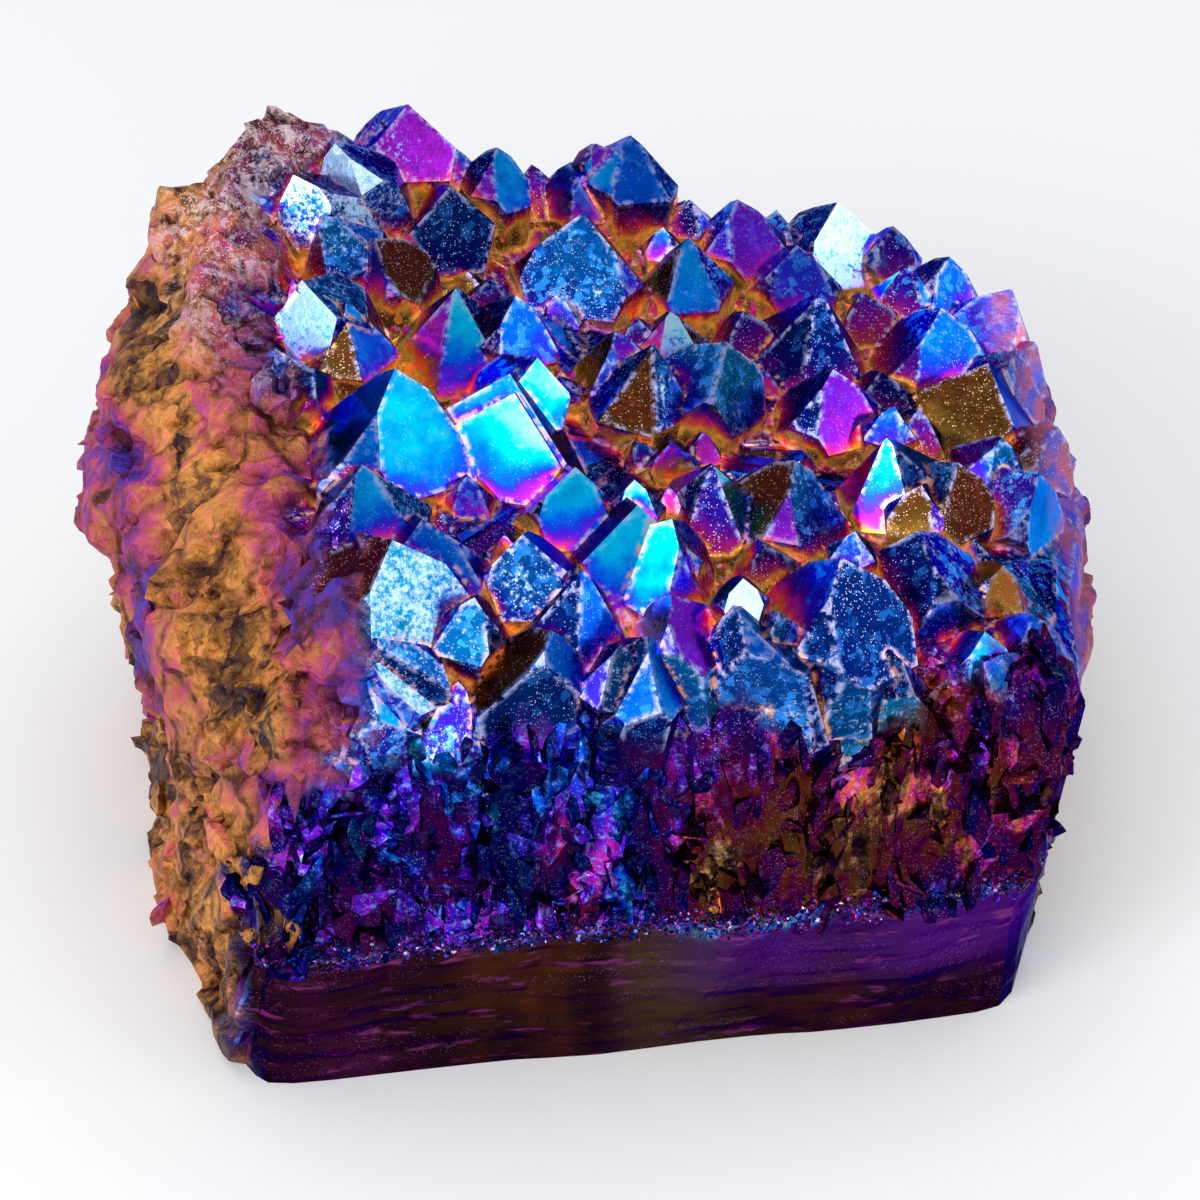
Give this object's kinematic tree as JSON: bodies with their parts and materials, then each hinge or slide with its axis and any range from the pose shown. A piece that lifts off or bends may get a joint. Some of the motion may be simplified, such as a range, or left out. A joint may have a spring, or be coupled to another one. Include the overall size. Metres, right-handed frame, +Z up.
{
  "type": "aura quartz cluster",
  "caption": "A chunk of a geode wall standing on its cut base, its top a bed of short six-sided quartz points with a metallic rainbow coat, its front broken and its side rough ochre matrix",
  "frame": {"origin": "on the table under the middle of the block's bounding box", "axes": "+Z up; -Y out of the broken front face; +X to the right of someone facing the front, along the block's length"},
  "size_m": [0.1052, 0.0814, 0.0683],
  "materials": {
    "aura_coat": "metallic iridescent coat over quartz crystal and rough matrix"
  },
  "bodies": {
    "root": {"quartz_cluster": "aura_coat"}
  },
  "joints": []
}
